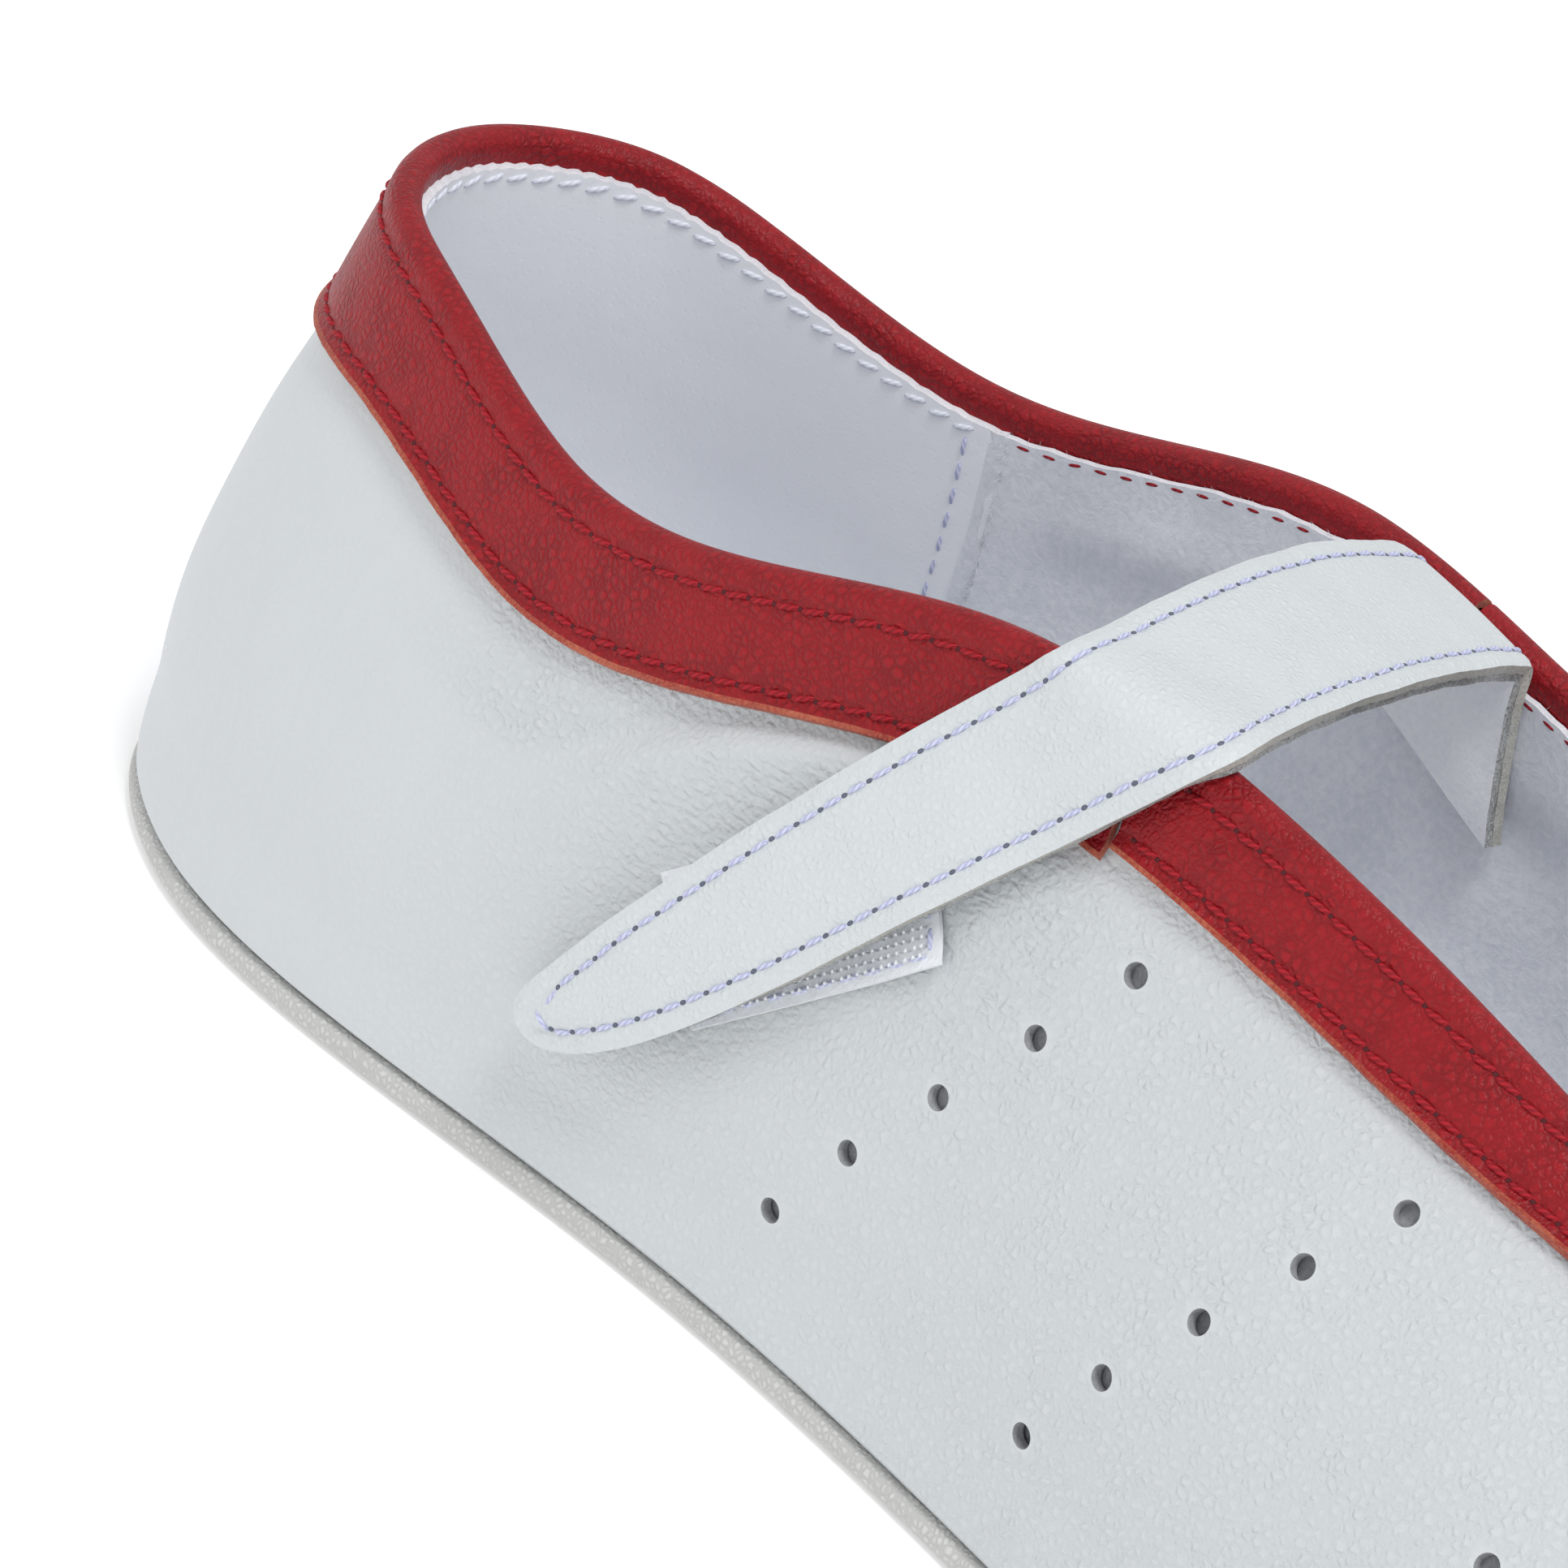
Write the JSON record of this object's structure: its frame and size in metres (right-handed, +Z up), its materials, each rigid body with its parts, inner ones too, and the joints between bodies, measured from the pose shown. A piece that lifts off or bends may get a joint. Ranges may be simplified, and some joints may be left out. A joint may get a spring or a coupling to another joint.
{
  "type": "strap slipper shoe",
  "caption": "Low-cut, thin-soled leather slipper shoe for mat training, with a bound collar, vent holes and a hook-and-loop instep strap.",
  "frame": {"origin": "middle of the sole's length, on the flat underside of the outsole", "axes": "+X to the toe, +Y to the inner side of the foot, +Z up"},
  "size_m": [0.2761, 0.0954, 0.0694],
  "materials": {
    "white_leather": "satin, fine grain",
    "red_leather": "satin, fine grain",
    "heel_lining_leather": "matt, smooth",
    "forepart_suede": "matt, napped",
    "strap_suede": "matt, napped",
    "sole": "matt, pebbled",
    "filler_foam": "matt",
    "board": "matt",
    "sock": "matt",
    "stiffener": "matt",
    "hook_tape": "satin",
    "loop_tape": "napped",
    "red_thread": "twisted, satin",
    "white_thread": "twisted, satin"
  },
  "bodies": {
    "shoe": {"outsole": "sole", "bottom_filler": "filler_foam", "insole_board": "board", "sock_liner": "sock", "upper": "white_leather", "heel_lining": "heel_lining_leather", "forepart_lining": "forepart_suede", "heel_counter": "stiffener", "toe_puff": "stiffener", "rear_band": "red_leather", "front_band": "red_leather", "rear_band_thread_upper": "red_thread", "rear_band_thread_lower": "red_thread", "front_band_thread_upper": "red_thread", "front_band_thread_lower": "red_thread", "hook_tape": "hook_tape", "strap_root": "strap_suede", "seam_thread_outer": "white_thread", "seam_thread_inner": "white_thread"},
    "strap_bridge": {"strap_bridge_grain": "white_leather", "strap_bridge_suede": "strap_suede", "strap_bridge_thread_rear": "white_thread", "strap_bridge_thread_front": "white_thread"},
    "strap_tab": {"strap_tab_grain": "white_leather", "strap_tab_suede": "strap_suede", "loop_tape": "loop_tape", "strap_tab_thread": "white_thread"}
  },
  "joints": [
    {"name": "strap_swing", "type": "hinge", "parent": "shoe", "child": "strap_bridge", "pos_m": [-0.03569, 0.02415, 0.06228], "axis": [-0.9892, 0.0464, 0.1391], "range_deg": [0, 150]},
    {"name": "tab_peel", "type": "hinge", "parent": "strap_bridge", "child": "strap_tab", "pos_m": [-0.03555, -0.03143, 0.05773], "axis": [-0.7819, 0.1443, 0.6065], "range_deg": [0, 110]}
  ]
}
